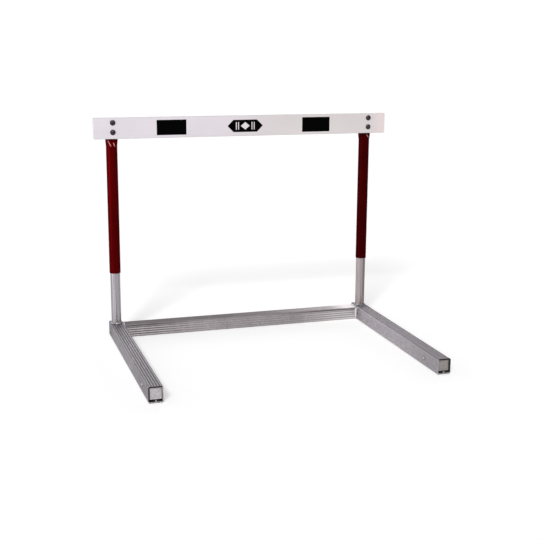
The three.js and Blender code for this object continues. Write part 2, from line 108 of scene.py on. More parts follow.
def middle(node):
    low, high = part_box(node)
    return (low + high) / 2


def extent(node):
    low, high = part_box(node)
    return high - low


def press_glints(side):
    """The painted glints along the creases that the press left on the front of a tube, as (start, end) points
    in the XZ plane.
    """
    centre = middle(f"upper_tube_{side}").x
    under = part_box("gate_board")[0].z
    return [
        [Vector((centre + across * MM, under + up * MM)) for across, up in mark]
        for mark in PRESS_GLINTS[side]
    ]


def upright(centre):
    """Puts a point of a flat outline in the XZ plane about a centre, at a given Y."""
    return lambda p, y: Vector((centre.x + p.x, y, centre.z + p.y))


# ---------------------------------------- outlines


def shares(steps):
    return [i / steps for i in range(steps + 1)]


def quarter_turn(steps):
    return [QUARTER * share for share in shares(steps)]


FINE_QUARTER = quarter_turn(4)
COARSE_QUARTER = (0, 0.5, 1.0, QUARTER)


def edge_rounding(radius, angles=FINE_QUARTER):
    """Pairs along the quarter circle of an edge: the first falls from the radius to 0, the second rises."""
    return [(radius * (1 - math.sin(a)), radius * (1 - math.cos(a))) for a in angles]


def arc_points(centre, radius, start, end, steps):
    """Points on an arc in the plane, from angle start to angle end."""
    angles = [start + (end - start) * share for share in shares(steps)]
    return [centre + Vector((math.cos(a), math.sin(a))) * radius for a in angles]


def rounded_path(corners, steps=4, closed=True):
    """A polygon or line of (u, v, radius) corners, each rounded off by its own radius."""
    points = []
    count = len(corners)
    for i, (u, v, radius) in enumerate(corners):
        here = Vector((u, v))
        if radius == 0 or (not closed and i in (0, count - 1)):
            points.append(here)
            continue
        back = (Vector(corners[i - 1][:2]) - here).normalized()
        ahead = (Vector(corners[(i + 1) % count][:2]) - here).normalized()
        half = back.angle(ahead) / 2
        reach = radius / math.tan(half)
        centre = here + (back + ahead).normalized() * (radius / math.sin(half))
        first, last = here + back * reach - centre, here + ahead * reach - centre
        turn = math.atan2(first.x * last.y - first.y * last.x, first.dot(last))
        start = math.atan2(first.y, first.x)
        points += arc_points(centre, radius, start, start + turn, steps)
    return points


def rectangle(width, height, radius, steps=6):
    """A rounded rectangle about the origin, anticlockwise."""
    u, v = width / 2, height / 2
    return rounded_path([(u, -v, radius), (u, v, radius), (-u, v, radius), (-u, -v, radius)], steps)


def inset(points, depth):
    """A closed anticlockwise outline moved inwards by depth."""
    moved = []
    for i, point in enumerate(points):
        back = (point - points[i - 1]).normalized()
        ahead = (points[(i + 1) % len(points)] - point).normalized()
        along = (back + ahead).normalized()
        moved.append(point + Vector((-along.y, along.x)) * depth)
    return moved


def extrusion_outline(width, height):
    """The outside of the extrusion, anticlockwise: u across the ribs, v from ribbed face to ribbed face."""
    u, face = width / 2, height / 2 - RIB_HEIGHT
    half_rib = [(RIB_FOOT / 2, 0, RIB_FOOT_FILLET), (RIB_TOP / 2, RIB_HEIGHT, RIB_TOP_ROUNDING)]
    rib = half_rib + [(-reach, rise, radius) for reach, rise, radius in reversed(half_rib)]
    corners = []
    for side in (1, -1):
        corners += [(side * u, -side * face, EXTRUSION_CORNER), (side * u, side * face, EXTRUSION_CORNER)]
        for i in range(RIB_COUNT):
            place = ((RIB_COUNT - 1) / 2 - i) * RIB_PITCH
            corners += [(side * (place + reach), side * (face + rise), radius) for reach, rise, radius in rib]
    return rounded_path(corners, 5)


def cavity_outline(width, height):
    """The inside of the extrusion, with the rail that carries the counterweight."""
    u = width / 2 - EXTRUSION_WALL
    v = height / 2 - RIB_HEIGHT - EXTRUSION_WALL
    rail, top = RAIL_WIDTH / 2, RAIL_HEIGHT - v
    soft, sharp = 0.8 * MM, 0.4 * MM
    corners = [(u, -v, soft), (u, v, soft), (-u, v, soft), (-u, -v, soft)]
    corners += [(-rail, -v, sharp), (-rail, top, sharp), (rail, top, sharp), (rail, -v, sharp)]
    return rounded_path(corners, 3)


def dome(radius, base, tip, steps):
    """(radius, height) points from the axis at tip out to the radius at base."""
    return [(radius * math.sin(a), base + (tip - base) * math.cos(a)) for a in quarter_turn(steps)]


# ---------------------------------------- meshes


def mesh_object(name, vertices, faces):
    """Makes an object, merges its doubled points and turns every face outwards."""
    mesh = bpy.data.meshes.new(name)
    mesh.from_pydata([tuple(v) for v in vertices], [], faces)
    piece = bpy.data.objects.new(name, mesh)
    bpy.context.scene.collection.objects.link(piece)
    edit = bmesh.new()
    edit.from_mesh(mesh)
    bmesh.ops.remove_doubles(edit, verts=edit.verts, dist=1e-7)
    bmesh.ops.dissolve_degenerate(edit, edges=edit.edges, dist=1e-7)
    bmesh.ops.recalc_face_normals(edit, faces=edit.faces)
    edit.to_mesh(mesh)
    edit.free()
    return piece


def side_faces(first, count, rows, loop=False):
    """The faces between rows of count points, which are numbered on from first."""
    faces = []
    for i in range(rows if loop else rows - 1):
        a, b = first + i * count, first + (i + 1) % rows * count
        faces += [(a + j, a + (j + 1) % count, b + (j + 1) % count, b + j) for j in range(count)]
    return faces


def loft(name, rings, loop=False):
    """Skins rings of equally many points. The ends are capped, or joined to each other."""
    count = len(rings[0])
    vertices = [p for ring in rings for p in ring]
    faces = side_faces(0, count, len(rings), loop)
    if not loop:
        faces += [tuple(range(count)), tuple(range(len(vertices) - count, len(vertices)))]
    return mesh_object(name, vertices, faces)


def pierced(name, outline, holes, layers, place):
    """Skins an outline and its holes through (station, inset) layers. place(point, station) is a vertex."""
    vertices, faces = [], []
    ends = {0: ([], []), len(layers) - 1: ([], [])}
    for points, sign in [(outline, 1)] + [(hole, -1) for hole in holes]:
        faces += side_faces(len(vertices), len(points), len(layers))
        for i, (station, depth) in enumerate(layers):
            row = inset(points, sign * depth)
            if i in ends:
                rows, numbers = ends[i]
                rows.append([p.to_3d() for p in row])
                numbers += range(len(vertices), len(vertices) + len(row))
            vertices += [place(p, station) for p in row]
    for rows, numbers in ends.values():
        faces += [tuple(numbers[k] for k in triangle) for triangle in tessellate_polygon(rows)]
    return mesh_object(name, vertices, faces)


def hollow_bar(name, width, height, start, end, place):
    """A length of the extrusion, with softened cut edges."""
    layers = [(start, SAW_EDGE), (start + SAW_EDGE, 0), (end - SAW_EDGE, 0), (end, SAW_EDGE)]
    return pierced(name, extrusion_outline(width, height), [cavity_outline(width, height)], layers, place)


def turned(name, origin, axis, profile, segments=64, shape=None, loop=False):
    """Turns (radius, height) points about an axis. A shape(angle, radius, height) may reshape each ring."""
    side = X if abs(axis.x) < 0.5 else Y
    up = axis.cross(side)
    rings = []
    for radius, height in profile:
        ring = []
        for i in range(segments):
            angle = 2 * math.pi * i / segments
            r = max(shape(angle, radius, height) if shape else radius, 1e-6)
            ring.append(origin + axis * height + side * (r * math.cos(angle)) + up * (r * math.sin(angle)))
        rings.append(ring)
    return loft(name, rings, loop)


def bent_strip(name, line, thickness, width, place):
    """A strip of sheet along a smooth line of points. place(point, across) gives a vertex."""
    soft, half = thickness * 0.3, width / 2
    lean = 1 - soft / thickness
    section = [(1, soft - half), (1, half - soft), (lean, half), (-lean, half)]
    section += [(-1, half - soft), (-1, soft - half), (-lean, -half), (lean, -half)]
    rings = []
    for i, point in enumerate(line):
        along = (line[min(i + 1, len(line) - 1)] - line[max(i - 1, 0)]).normalized()
        out = Vector((-along.y, along.x)) * (thickness / 2)
        rings.append([place(point + out * side, across) for side, across in section])
    return loft(name, rings)


def cut(piece, cutters):
    """Takes the cutters out of the piece and deletes them."""
    for cutter in cutters:
        modifier = piece.modifiers.new("cut", "BOOLEAN")
        modifier.operation = "DIFFERENCE"
        modifier.solver = "EXACT"
        modifier.object = cutter
    bpy.context.view_layer.update()
    graph = bpy.context.evaluated_depsgraph_get()
    mesh = bpy.data.meshes.new_from_object(piece.evaluated_get(graph))
    piece.modifiers.clear()
    piece.data = mesh
    for cutter in cutters:
        bpy.data.objects.remove(cutter)
    return piece


def drill(origin, axis, radius, length, flare=0.0):
    """A round cutter that starts at origin, with a flared mouth of that depth there."""
    clear, mouth = -2 * MM, radius + flare  # the cutter starts a little outside the piece
    profile = [(0, clear), (mouth, clear), (mouth, 0), (radius, flare), (radius, length), (0, length)]
    return turned("drill", origin, axis, profile, 40)


def finish(piece, body, material, node, sharp=38):
    """Shades a piece, gives it its material, hangs it on its body, if it has one, and retires its node."""
    piece.data.materials.clear()
    piece.data.materials.append(MATERIALS[material])
    piece.data.shade_smooth()
    piece.data.set_sharp_from_angle(angle=math.radians(sharp))
    weighted = piece.modifiers.new("flat faces stay flat", "WEIGHTED_NORMAL")
    weighted.keep_sharp = True
    if body:
        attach(piece, body)
    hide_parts(node)


# ---------------------------------------- shader nodes


class Field:
    """The output of a shader node. Sums with it add Math nodes."""

    def __init__(self, nodes, socket):
        self.nodes = nodes
        self.socket = socket

    def __add__(self, other):
        return self.nodes.maths("ADD", self, other)

    def __sub__(self, other):
        return self.nodes.maths("SUBTRACT", self, other)

    def __rsub__(self, other):
        return self.nodes.maths("SUBTRACT", other, self)

    def __mul__(self, other):
        return self.nodes.maths("MULTIPLY", self, other)

    def __neg__(self):
        return 0.0 - self

    def __abs__(self):
        return self.nodes.maths("ABSOLUTE", self)


class Nodes:
    """A node tree, with one short call for each kind of node."""

    def __init__(self, tree, coordinates):
        self.tree = tree
        self.place = Field(self, self.node("ShaderNodeTexCoord").outputs[coordinates])

    def node(self, kind, **settings):
        made = self.tree.nodes.new(kind)
        for key, value in settings.items():
            setattr(made, key, value)
        return made

    def feed(self, socket, value):
        """Links a field to a socket, or sets the socket to a plain value."""
        if isinstance(value, Field):
            self.tree.links.new(value.socket, socket)
        else:
            socket.default_value = value

    def fed(self, made, *values):
        """Feeds a node's first sockets, and gives its first output."""
        for socket, value in zip(made.inputs, values):
            self.feed(socket, value)
        return Field(self, made.outputs[0])

    def maths(self, operation, *values):
        return self.fed(self.node("ShaderNodeMath", operation=operation), *values)

    def axis(self, index):
        made = self.node("ShaderNodeSeparateXYZ")
        self.feed(made.inputs[0], self.place)
        return Field(self, made.outputs[index])

    x = property(lambda self: self.axis(0))
    y = property(lambda self: self.axis(1))
    z = property(lambda self: self.axis(2))

    def step(self, value, low, high, to_low=0.0, to_high=1.0):
        """Goes smoothly from to_low to to_high as the value rises from low to high."""
        made = self.node("ShaderNodeMapRange", interpolation_type="SMOOTHSTEP")
        return self.fed(made, value, low, high, to_low, to_high)

    def fall(self, value, low, high):
        return self.step(value, low, high, 1.0, 0.0)

    def spread(self, texture, to_low=0.0, to_high=1.0):
        """Stretches the middle of a noise's range, where most of it lies, over another range."""
        return self.step(texture, 0.3, 0.7, to_low, to_high)

    def mix(self, share, a, b):
        made = self.node("ShaderNodeMix", data_type="RGBA")
        self.feed(made.inputs[0], share)
        for socket, colour in ((made.inputs[6], a), (made.inputs[7], b)):
            self.feed(socket, colour if isinstance(colour, Field) else (*colour, 1))
        return Field(self, made.outputs[2])


def drawn_out(along, fine, coarse):
    """A texture scale that is coarse along one axis and fine across it."""
    return [coarse if letter == along else fine for letter in "XYZ"]


class Shader(Nodes):
    """A material. Its colours are multiplied by its tone, but for those that coat() lays on."""

    def __init__(self, name, colour, roughness, metallic=0.0, tone=(1, 1, 1), **sockets):
        self.material = bpy.data.materials.new(name)
        self.material.use_nodes = True
        super().__init__(self.material.node_tree, "Object")
        self.bsdf = self.tree.nodes["Principled BSDF"]
        self.tone = tone
        self.put("Base Color", (*self.toned(colour), 1))
        self.put("Roughness", roughness)
        self.put("Metallic", metallic)
        for socket, value in sockets.items():
            self.put(socket.replace("_", " "), value)

    def put(self, socket, value):
        self.feed(self.bsdf.inputs[socket], value)

    def toned(self, colour):
        return tuple(c * k for c, k in zip(colour, self.tone))

    def colour(self, share, a, b):
        """The base colour goes from a to b with the share."""
        self.base = self.mix(share, self.toned(a), self.toned(b))
        self.put("Base Color", self.base)

    def coat(self, share, colour):
        """Lays a colour over the base colour, as thickly as the share says."""
        self.base = self.mix(share, self.base, colour)
        self.put("Base Color", self.base)

    def stretched(self, scale, turn=0.0):
        """Object coordinates, scaled on each axis and turned about X and Z."""
        place = self.place
        if turn:
            spun = self.node("ShaderNodeMapping", vector_type="POINT")
            spun.inputs["Rotation"].default_value = (turn, 0, turn)
            place = self.fed(spun, place)
        made = self.node("ShaderNodeMapping", vector_type="POINT")
        made.inputs["Scale"].default_value = scale
        return self.fed(made, place)

    def noise(self, scale, detail=3.0, turn=0.0):
        made = self.node("ShaderNodeTexNoise")
        made.inputs["Scale"].default_value = 1
        made.inputs["Detail"].default_value = detail
        scales = scale if hasattr(scale, "__len__") else (scale,) * 3
        self.feed(made.inputs["Vector"], self.stretched(scales, turn))
        return Field(self, made.outputs["Fac"])

    def cells(self, scale):
        """Three levels for each cell of a Voronoi pattern."""
        made = self.node("ShaderNodeTexVoronoi", feature="F1")
        made.inputs["Scale"].default_value = 1
        self.feed(made.inputs["Vector"], self.stretched((scale,) * 3))
        split = self.node("ShaderNodeSeparateColor")
        self.feed(split.inputs[0], Field(self, made.outputs["Color"]))
        return [Field(self, output) for output in split.outputs]

    def scratches(self, along, width, turn):
        """Hairlines: the contour lines of a noise that is stretched along one axis."""
        line = abs(self.noise(drawn_out(along, 260.0, 9.0), 1.0, turn) - 0.5)
        return self.fall(line, 0.0, width) * self.step(self.noise(23.0, 2.0), 0.5, 0.62)

    def near(self, a, b, low, high):
        """Falls from 1 to 0 as the distance whose two components are a and b goes from low to high."""
        return self.fall(self.maths("SQRT", a * a + b * b), low, high)

    def streak(self, start, end, half_width):
        """Is 1 on a line in the XZ plane from start to end, and fades to 0 at its edges and ends."""
        length = (end - start).length
        along = (end - start) / length
        x, z = self.x - start.x, self.z - start.y
        run, beside = x * along.x + z * along.y, x * along.y - z * along.x
        line = self.fall(abs(beside), 0.3 * half_width, half_width)
        return line * self.step(run, 0.0, 0.25 * length) * self.fall(run, 0.75 * length, length)

    def bump(self, *layers):
        """Each layer is a height in millimetres and the texture that it scales."""
        normal = None
        for height, texture in layers:
            made = self.node("ShaderNodeBump")
            made.inputs["Strength"].default_value = 1
            made.inputs["Distance"].default_value = height * MM
            self.feed(made.inputs["Height"], texture)
            if normal:
                self.feed(made.inputs["Normal"], normal)
            normal = Field(self, made.outputs[0])
        self.put("Normal", normal)


# ---------------------------------------- materials


def extrusion_material(name, along, tone, front_darkening=0.0):
    """Mill-finish aluminium: die lines along the bar, dull blotches, hairline scratches and grooves darkened
    by dirt and painted shade; painted light and shade on the rear bar's top and right end, and painted shade
    on the legs' sawn ends and round their rivets.
    """
    s = Shader(
        name, (0.3, 0.288, 0.3), 0.34, 0.9, tone,
        Specular_Tint=(0.4, 0.385, 0.4, 1.0), Anisotropic=0.85,
    )
    s.put("Tangent", s.fed(s.node("ShaderNodeTangent", direction_type="RADIAL", axis=along)))
    lines, threads = s.noise(drawn_out(along, 420.0, 2.5), 2.0), s.noise(drawn_out(along, 2600.0, 6.0), 1.0)
    blotch, mottle, speck = s.noise(14.0, 4.0), s.noise(120.0, 4.0), s.noise(330.0, 2.0)
    scratch = s.scratches(along, 0.006, 0.5) + s.scratches(along, 0.005, -0.35)
    dirt_and_shade = groove_dirt_and_shade(s, along)
    mottling = 0.8 if along == "Y" else 0.3
    s.colour(s.spread(blotch), (0.295, 0.28, 0.297), (0.365, 0.35, 0.367))
    s.coat(s.step(lines, 0.35, 0.65, 0.0, 0.45), s.toned((0.3, 0.285, 0.3)))
    s.coat(s.step(mottle, 0.5, 0.66, 0.0, mottling), s.toned((0.2, 0.19, 0.205)))
    s.coat(s.step(speck, 0.5, 0.62, 0.0, mottling), s.toned((0.5, 0.485, 0.5)))
    # Darker towards the legs' front ends.
    if front_darkening:
        s.coat(s.step(s.y, -0.32, 0.0, front_darkening, 0.0), s.toned((0.17, 0.163, 0.17)))
    if along == "X":
        # Painted highlight on the bar's right end.
        s.coat(painted_highlight_end(s), (0.82, 0.79, 0.8))
        # Painted shade on the left of the bar's top.
        s.coat(painted_shade_top(s), (0.15, 0.14, 0.145))
        # Painted shade under the bar's upper edges.
        s.coat(edge_shade_line(s), (0.04, 0.036, 0.038))
    # Dirt and painted shade in the grooves.
    s.coat(dirt_and_shade * 0.85, (0.02, 0.018, 0.019))
    s.coat(scratch * 0.6, (0.68, 0.67, 0.68))
    if along == "Y":
        s.coat(foot_soot(s) * 0.75, (0.07, 0.075, 0.1))
        # Painted shadow round the rivet heads.
        s.coat(rivet_shadow_ring(s) * 0.9, (0.03, 0.028, 0.03))
        # Painted shade on the legs' sawn front ends.
        s.coat(shaded_cut_end(s), (0.012, 0.011, 0.011))
    s.put("Roughness", s.spread(blotch, 0.3, 0.4) + threads * 0.08 + dirt_and_shade * 0.25)
    s.put("Metallic", 0.92 - dirt_and_shade * 0.6)
    s.bump((0.03, lines), (0.012, threads), (0.02, -scratch))
    return s.material


def groove_dirt_and_shade(s, along):
    """Dirt and painted shade between the ribs, which are above and below on a leg, and in front and behind on
    the rear bar.
    """
    node, index = ("leg_left", 2) if along == "Y" else ("rear_bar", 1)
    depth = extent(node)[index] / 2 - abs(s.axis(index) - middle(node)[index])
    groove = s.step(depth, 0.15 * MM, 0.8 * MM) * s.fall(depth, 1.1 * MM, 2.2 * MM)
    dirt_and_shade = groove * s.step(s.noise(60.0, 3.0), 0.2, 0.55, 0.7, 1.0)
    if along == "Y":
        return dirt_and_shade
    # On the bar the noisy dirt fades towards the right, where plain painted shade darkens the grooves.
    return dirt_and_shade * s.step(s.x, -0.36, -0.1, 1.0, 0.3) + groove * s.step(s.x, 0.2, 0.4, 0.0, 0.4)


def from_leg(s):
    """The distance across a leg from its middle: negative towards the other leg, positive away from it."""
    return abs(s.x) - middle("leg_right").x


def shaded_cut_end(s):
    """Is 1 on the legs' sawn front ends, which get painted shade for their dark reflection, but not on the
    inner wall, the sill and the rail.
    """
    low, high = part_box("leg_right")
    front = s.fall(s.y, low.y + SAW_EDGE * 0.6, low.y + SAW_EDGE * 1.4)
    across = from_leg(s)
    inner_wall = (high.x - low.x) / 2 - EXTRUSION_WALL
    floor = RIB_HEIGHT + EXTRUSION_WALL
    rail_top = floor + RAIL_HEIGHT
    wall = s.fall(across, -inner_wall, -inner_wall + 0.5 * MM)
    rail = s.fall(abs(across), RAIL_WIDTH / 2, RAIL_WIDTH / 2 + 0.6 * MM)
    rail = rail * s.fall(s.z, rail_top, rail_top + 1 * MM)
    sill = s.step(s.z, floor, floor + 1 * MM, 0.9, 0.0)
    return front * (1.0 - s.maths("MAXIMUM", wall, s.maths("MAXIMUM", rail, sill)))


def foot_soot(s):
    """Blotches of soot and heat tint on the legs, round the feet of the tubes."""
    along = s.y - middle("lower_tube_right").y
    return s.near(from_leg(s), along, 22 * MM, 95 * MM) * s.step(s.noise(190.0, 3.0), 0.42, 0.6)


def rivet_shadow_ring(s):
    """A painted shadow round the heads of the rivets."""
    rivet = middle("detent_rivet_left")
    return s.near(s.y - rivet.y, s.z - rivet.z, 5.2 * MM, 7.2 * MM)


def on_bar_top(s):
    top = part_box("rear_bar")[1].z
    return s.step(s.z, top - 5 * MM, top - 3 * MM)


def painted_highlight_end(s):
    """A painted highlight on the right end of the bar, most of all on top."""
    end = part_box("rear_bar")[1].x
    top = s.step(s.x, end - 110 * MM, end - 15 * MM, 0.0, 0.93)
    front = s.step(s.x, end - 260 * MM, end - 20 * MM, 0.0, 0.82)
    above = on_bar_top(s)
    return top * above + front * (1.0 - above)


def painted_shade_top(s):
    """Painted shade on the left half of the bar's top, which reflects darker there."""
    return on_bar_top(s) * s.step(s.x, -0.3, 0.2, 0.5, 0.08)


def edge_shade_line(s):
    """A line of painted shade under the bar's upper edges, heavy near its ends."""
    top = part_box("rear_bar")[1].z
    band = s.step(s.z, top - 8 * MM, top - 6 * MM) * s.fall(s.z, top - 4 * MM, top - 2.5 * MM)
    return band * s.step(abs(s.x), 0.1, 0.36, 0.15, 0.75)


def bare_tube_material(name, tone, right_half_shade=0.0):
    """Drawn aluminium tube: fine lines up its length, sleeve rubs, a heat tint over the weld, and, where
    asked, painted shade on its right half.
    """
    s = Shader(name, (0.32, 0.305, 0.315), 0.3, 0.95, tone, Specular_Tint=(0.5, 0.48, 0.5, 1.0))
    lines = s.noise((900.0, 900.0, 3.0), 2.0)
    rub = s.step(s.noise((330.0, 330.0, 7.0), 2.0), 0.56, 0.7)
    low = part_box("lower_tube_left")[0].z
    heat = s.fall(s.z, low + 4 * MM, low + 34 * MM) * s.step(s.noise(45.0, 2.0), 0.2, 0.7, 0.4, 1.0)
    scratch = s.scratches("Z", 0.006, 0.3)
    s.colour(s.spread(lines), (0.23, 0.218, 0.228), (0.38, 0.364, 0.378))
    s.coat(rub * 0.5, s.toned((0.53, 0.517, 0.53)))
    if right_half_shade:
        # Painted shade on the tube's right half, away from the light.
        outwards = s.x - middle("lower_tube_right").x
        s.coat(s.step(outwards, -4 * MM, 5 * MM, 0.0, right_half_shade), (0.11, 0.098, 0.094))
    s.coat(heat * 0.4, (0.26, 0.23, 0.21))
    s.coat(scratch * 0.5, (0.7, 0.69, 0.7))
    s.put("Roughness", s.spread(lines, 0.2, 0.3) + heat * 0.14)
    s.bump((0.035, lines), (0.015, -scratch))
    return s.material


def weld_material(name, soot_low):
    """Aluminium weld metal: bright crowns, dull between the ripples, and patches of soot."""
    s = Shader(name, (0.5, 0.48, 0.5), 0.32, 0.95)
    grain = s.noise(900.0, 3.0)
    soot = s.step(s.noise(150.0, 3.0), soot_low, soot_low + 0.16)
    s.colour(s.spread(grain), (0.55, 0.53, 0.55), (0.8, 0.78, 0.79))
    s.coat(soot * 0.85, (0.09, 0.092, 0.11))
    s.put("Roughness", s.spread(grain, 0.22, 0.38) + soot * 0.3)
    s.bump((0.05, grain))
    return s.material


def maroon_material(name, red=1.0):
    """Dark red metallic powder coat, chipped at the rim and scuffed, with painted glints along the press
    creases and a painted shadow under the board.
    """
    s = Shader(
        name, (0.06, 0.0005, 0.001), 0.34, 0.65,
        Specular_IOR_Level=0.02, Specular_Tint=(0.5, 0.012, 0.02, 1.0),
    )
    peel, cloud = s.noise(620.0, 2.0), s.noise(18.0, 3.0)
    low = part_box("upper_tube_left")[0].z
    rim = s.fall(s.z, low, low + 3.2 * MM)
    chip = s.step(s.noise(520.0, 4.0) + rim * 0.3, 0.88, 0.92)
    scuff = s.scratches("Z", 0.004, 0.2)
    # A red below 1 darkens the coat into a painted-shade copy.
    s.colour(s.spread(cloud), (0.05 * red, 0.0004, 0.0008), (0.066 * red, 0.0006, 0.0011))
    s.coat(scuff * 0.16, (0.3, 0.05, 0.05))
    axis_y = middle("lower_tube_left").y
    front = s.fall(s.y, axis_y - 3 * MM, axis_y)
    # Painted glints along the press creases, on the tubes' fronts.
    for side in SIDES:
        for start, end in press_glints(side):
            s.coat(s.streak(start, end, 2 * MM) * front * 0.95, (0.55, 0.24, 0.235))
    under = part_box("gate_board")[0].z
    shade = s.step(s.z, under - 5.5 * MM, under - 2.5 * MM, 0.0, 0.92)
    s.coat(shade * front, (0.003, 0.0005, 0.0005))
    s.coat(chip, (0.42, 0.4, 0.4))
    s.put("Roughness", s.spread(cloud, 0.3, 0.38))
    s.bump((0.02, peel), (0.1, -chip), (0.008, -scuff))
    return s.material


def board_material():
    """Smooth white board: lilac to the left, rosy to the right, worn a little at its edges, and scuffed."""
    s = Shader("white_board", (0.8, 0.765, 0.81), 0.42, Specular_IOR_Level=0.45)
    cloud, grain = s.noise((5.0, 11.0, 11.0), 3.0), s.noise((90.0, 700.0, 700.0), 2.0)
    half, end = extent("gate_board").z / 2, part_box("gate_board")[1].x
    edge = s.step(abs(s.z - middle("gate_board").z), half - 2.4 * MM, half)
    tip = s.step(abs(s.x), end - 2.6 * MM, end)
    wear = s.maths("MAXIMUM", edge, tip) * s.step(s.noise(95.0, 4.0), 0.42, 0.66)
    s.colour(s.spread(cloud), (0.434, 0.408, 0.443), (0.462, 0.436, 0.472))
    rosy = s.mix(s.spread(cloud), (0.425, 0.397, 0.405), (0.453, 0.425, 0.432))
    s.coat(s.step(s.x, -0.3 * end, 0.3 * end), rosy)
    s.coat(s.step(s.x, 0.86 * end, end, 0.0, 0.7), (0.53, 0.445, 0.452))
    s.coat(wear * 0.4, (0.42, 0.4, 0.41))
    s.coat(s.scratches("X", 0.005, 0.25) * 0.28, (0.33, 0.31, 0.32))
    s.put("Roughness", s.spread(cloud, 0.36, 0.46) + wear * 0.2)
    s.bump((0.012, grain), (0.04, -wear))
    return s.material


def panel_material():
    """Matt black sheet with a fine tooth and a few dusty rubs."""
    s = Shader("black_sheet", (0.0006, 0.0006, 0.0007), 0.75, Specular_IOR_Level=0.012)
    tooth = s.noise(2400.0, 2.0)
    dust = s.scratches("X", 0.006, 0.4) + s.step(s.noise(70.0, 5.0), 0.6, 0.85, 0.0, 0.35)
    s.colour(dust * 0.03, (0.0004, 0.0004, 0.0005), (0.1, 0.097, 0.1))
    s.put("Roughness", s.step(tooth, 0.2, 0.8, 0.6, 0.78))
    s.bump((0.02, tooth))
    return s.material


def dark_bolt_material():
    """Black-plated carriage bolts, rubbed to bare metal in patches."""
    s = Shader("dark_plating", (0.05, 0.046, 0.058), 0.38, 0.85)
    grain = s.noise(1400.0, 3.0)
    rub = s.step(s.noise(260.0, 4.0), 0.52, 0.72)
    s.colour(rub * 0.35, (0.022, 0.02, 0.027), (0.16, 0.15, 0.17))
    s.put("Roughness", s.spread(grain, 0.3, 0.46))
    s.bump((0.025, grain))
    return s.material


def plated_material(name, tone=(1, 1, 1)):
    """Bright zinc plating with cloudy patches and a little white bloom."""
    s = Shader(name, (0.56, 0.56, 0.58), 0.3, 0.95, tone)
    cloud = s.noise(210.0, 4.0)
    bloom = s.step(s.noise(420.0, 4.0), 0.62, 0.76)
    s.colour(s.spread(cloud), (0.48, 0.48, 0.5), (0.64, 0.635, 0.63))
    s.coat(bloom * 0.35, s.toned((0.72, 0.72, 0.7)))
    s.put("Roughness", s.spread(cloud, 0.24, 0.36) + bloom * 0.25)
    s.bump((0.015, cloud))
    return s.material


def spring_material():
    """Blued spring strip with rolling lines."""
    s = Shader("spring_strip", (0.2, 0.2, 0.23), 0.3, 0.95)
    lines = s.noise((1800.0, 1800.0, 60.0), 2.0)
    s.colour(s.spread(lines), (0.15, 0.15, 0.19), (0.3, 0.3, 0.33))
    s.put("Roughness", s.spread(lines, 0.24, 0.38))
    s.bump((0.012, lines))
    return s.material


def weight_material(name, tone=(1, 1, 1)):
    """Galvanised casting: zinc crystals over a sandy skin, with painted shade along its top and its outer
    edge.
    """
    s = Shader(name, (0.5, 0.48, 0.5), 0.45, 0.8, tone)
    sand = s.noise(640.0, 4.0)
    pale, rough, high = s.cells(170.0)
    s.colour(pale, (0.37, 0.352, 0.367), (0.48, 0.46, 0.48))
    s.coat(s.step(sand, 0.62, 0.8, 0.0, 0.5), (0.2, 0.19, 0.19))
    half, top = extent("counterweight_right").x / 2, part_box("counterweight_right")[1].z
    outer = s.step(from_leg(s), half - 2.2 * MM, half - 1.2 * MM)
    upper = s.step(s.z, top - 2 * MM, top - 1 * MM)
    # Painted shade along the top and outer edge, where the casting meets the leg's walls.
    s.coat(s.maths("MAXIMUM", outer, upper) * 0.85, (0.02, 0.019, 0.018))
    s.put("Roughness", s.step(rough, 0.0, 1.0, 0.38, 0.56))
    s.bump((0.12, sand), (0.01, high))
    return s.material


def plug_material():
    """Moulded black plastic with a spark-eroded texture and a pale scuff or two."""
    s = Shader("moulded_black", (0.013, 0.013, 0.014), 0.55)
    texture = s.noise(1500.0, 3.0)
    s.colour(s.step(s.noise(130.0, 5.0), 0.6, 0.78, 0.0, 0.5), (0.011, 0.011, 0.012), (0.05, 0.049, 0.05))
    s.put("Roughness", s.spread(texture, 0.48, 0.66))
    s.bump((0.04, texture))
    return s.material


def floor_material():
    """A pale floor that glows a little, as a backlit studio sweep does."""
    s = Shader("studio_floor", (0.84, 0.84, 0.84), 0.85, Emission_Color=(1, 1, 1, 1), Emission_Strength=0.32)
    s.colour(s.noise(1.2, 2.0), (0.83, 0.83, 0.83), (0.85, 0.85, 0.85))
    return s.material


# The right side's copies are toned a little differently from the left's, mostly warmer; the right sleeve's
# darker coat and the right tube's darker right half are painted shade.
MATERIALS = {
    "leg_left": extrusion_material("mill_aluminium_left", "Y", (1.3, 1.3, 1.31), 0.2),
    "leg_right": extrusion_material("mill_aluminium_right", "Y", (1.42, 1.41, 1.42), 0.5),
    "bar": extrusion_material("mill_aluminium_rear", "X", (1.1, 1.07, 1.06)),
    "tube_left": bare_tube_material("drawn_aluminium_left", (1.17, 1.15, 1.19)),
    "tube_right": bare_tube_material("drawn_aluminium_right", (1.24, 1.14, 1.13), 0.75),
    "foot_weld": weld_material("sooty_weld", 0.38),
    "seam_weld": weld_material("bright_weld", 0.62),
    "maroon_left": maroon_material("maroon_powder_coat_left"),
    # Painted shade: the right sleeve is a darker copy of the maroon.
    "maroon_right": maroon_material("maroon_powder_coat_right_shaded", 0.55),
    "board": board_material(),
    "panel": panel_material(),
    "bolt": dark_bolt_material(),
    "plated": plated_material("zinc_plating"),
    "rivet": plated_material("dull_zinc_plating", (0.7, 0.68, 0.68)),
    "spring": spring_material(),
    "weight_left": weight_material("galvanised_casting_left"),
    "weight_right": weight_material("galvanised_casting_right", (0.6, 0.57, 0.54)),
    "plug": plug_material(),
}


# ---------------------------------------- base


